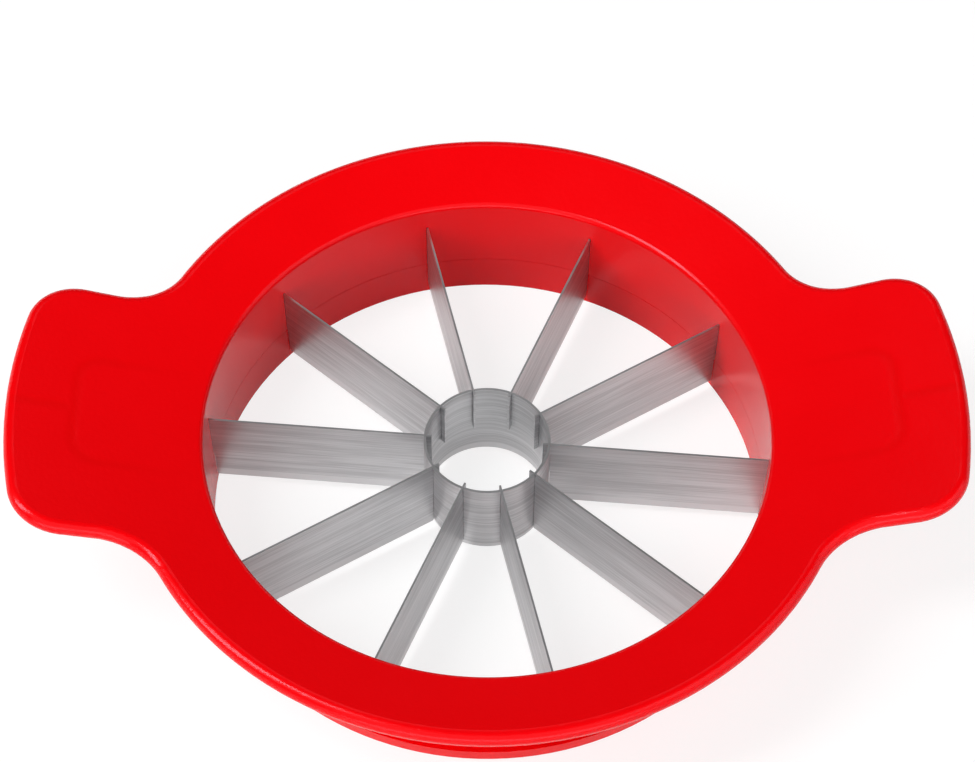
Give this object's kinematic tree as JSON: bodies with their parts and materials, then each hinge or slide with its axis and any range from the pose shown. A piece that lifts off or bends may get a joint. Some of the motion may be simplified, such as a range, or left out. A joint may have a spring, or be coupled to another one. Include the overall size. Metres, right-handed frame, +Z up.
{
  "type": "fruit slicer and corer",
  "caption": "Hand-held fruit slicer: a moulded ring with a dish rim and two wing handles, radial steel blades and a central coring tube, pushed down over the fruit.",
  "frame": {"origin": "centre of the foot ring's lower face, on the axis of the coring tube", "axes": "+X along the handles, +Y across them, away from the viewer of the picture, +Z up along the coring tube"},
  "size_m": [0.1662, 0.1274, 0.0345],
  "materials": {
    "red_plastic": "satin-gloss moulded plastic",
    "blade_steel": "finely ground stainless steel"
  },
  "bodies": {
    "root": {"body": "red_plastic", "foot_ring": "red_plastic", "core_tube": "blade_steel", "blade_01": "blade_steel", "blade_02": "blade_steel", "blade_03": "blade_steel", "blade_04": "blade_steel", "blade_05": "blade_steel", "blade_06": "blade_steel", "blade_07": "blade_steel", "blade_08": "blade_steel", "blade_09": "blade_steel", "blade_10": "blade_steel"}
  },
  "joints": []
}
